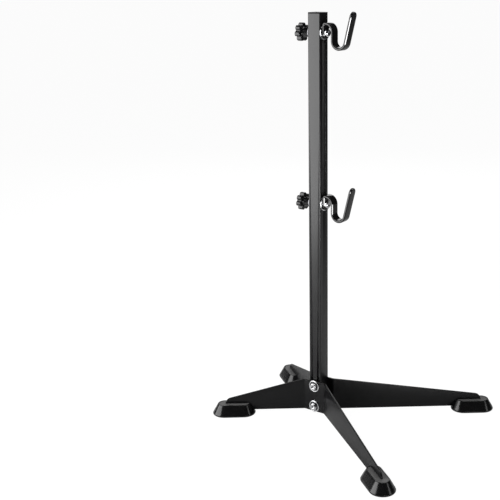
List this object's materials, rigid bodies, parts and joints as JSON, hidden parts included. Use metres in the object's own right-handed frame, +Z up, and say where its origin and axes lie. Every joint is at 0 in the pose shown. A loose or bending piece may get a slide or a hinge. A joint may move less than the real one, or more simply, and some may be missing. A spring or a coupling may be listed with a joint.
{
  "type": "bike repair stand",
  "caption": "Upright stand that holds a bicycle by its rear stays: a slotted square post on splayed plate legs with rubber feet, and coated hooks that slide, swivel and clamp with star knobs.",
  "frame": {"origin": "on the floor, under the axis of the post", "axes": "+Z up along the post, +X towards the hooks, -X towards the star knobs, -Y towards the heads of the base bolts"},
  "size_m": [0.434, 0.4118, 0.7397],
  "materials": {
    "post_paint": "satin black powder coat on steel tube",
    "leg_paint": "satin black powder coat on steel plate",
    "cap_plastic": "matte black moulded plastic",
    "foot_rubber": "semi-gloss black moulded rubber",
    "zinc_steel": "bright zinc-plated steel",
    "hook_steel": "plain steel bar under the coating",
    "hook_coating": "glossy black dipped vinyl",
    "insert_steel": "zinc-plated threaded insert",
    "knob_plastic": "satin black moulded nylon"
  },
  "bodies": {
    "frame": {"post": "post_paint", "post_cap": "cap_plastic", "front_leg_plate": "leg_paint", "rear_leg_plate": "leg_paint", "front_long_foot": "foot_rubber", "front_short_foot": "foot_rubber", "rear_long_foot": "foot_rubber", "rear_short_foot": "foot_rubber", "base_bolt_lower": "zinc_steel", "base_bolt_upper": "zinc_steel", "base_head_washer_lower": "zinc_steel", "base_head_washer_upper": "zinc_steel", "base_nut_washer_lower": "zinc_steel", "base_nut_washer_upper": "zinc_steel", "base_nut_lower": "zinc_steel", "base_nut_upper": "zinc_steel"},
    "upper_slider": {"upper_clamp_bolt": "zinc_steel", "upper_clamp_washer": "zinc_steel"},
    "upper_hook": {"upper_hook_bar": "hook_steel", "upper_hook_coating": "hook_coating"},
    "upper_loose_washer": {"upper_knob_washer": "zinc_steel"},
    "upper_knob": {"upper_knob_insert": "insert_steel", "upper_knob_body": "knob_plastic"},
    "lower_slider": {"lower_clamp_bolt": "zinc_steel", "lower_clamp_washer": "zinc_steel"},
    "lower_hook": {"lower_hook_bar": "hook_steel", "lower_hook_coating": "hook_coating"},
    "lower_loose_washer": {"lower_knob_washer": "zinc_steel"},
    "lower_knob": {"lower_knob_insert": "insert_steel", "lower_knob_body": "knob_plastic"}
  },
  "joints": [
    {"name": "upper_slide", "type": "slide", "parent": "frame", "child": "upper_slider", "axis": [0, 0, 1], "range_m": [-0.105, 0]},
    {"name": "upper_swivel", "type": "hinge", "parent": "upper_slider", "child": "upper_hook", "pos_m": [0.016, 0, 0.703], "axis": [1, 0, 0], "continuous": true},
    {"name": "upper_knob_travel", "type": "slide", "parent": "upper_slider", "child": "upper_loose_washer", "axis": [-1, 0, 0], "range_m": [0, 0.0025]},
    {"name": "upper_knob_spin", "type": "hinge", "parent": "upper_loose_washer", "child": "upper_knob", "pos_m": [-0.022, 0, 0.703], "axis": [-1, 0, 0], "range_deg": [0, 720]},
    {"name": "lower_slide", "type": "slide", "parent": "frame", "child": "lower_slider", "axis": [0, 0, 1], "range_m": [0, 0.105]},
    {"name": "lower_swivel", "type": "hinge", "parent": "lower_slider", "child": "lower_hook", "pos_m": [0.016, 0, 0.4036], "axis": [1, 0, 0], "continuous": true},
    {"name": "lower_knob_travel", "type": "slide", "parent": "lower_slider", "child": "lower_loose_washer", "axis": [-1, 0, 0], "range_m": [0, 0.0025]},
    {"name": "lower_knob_spin", "type": "hinge", "parent": "lower_loose_washer", "child": "lower_knob", "pos_m": [-0.022, 0, 0.4036], "axis": [-1, 0, 0], "range_deg": [0, 720]}
  ],
  "couplings": [
    {"joint": "upper_knob_spin", "follows": "upper_knob_travel", "rad_per_m": 5026.5},
    {"joint": "lower_knob_spin", "follows": "lower_knob_travel", "rad_per_m": 5026.5}
  ]
}
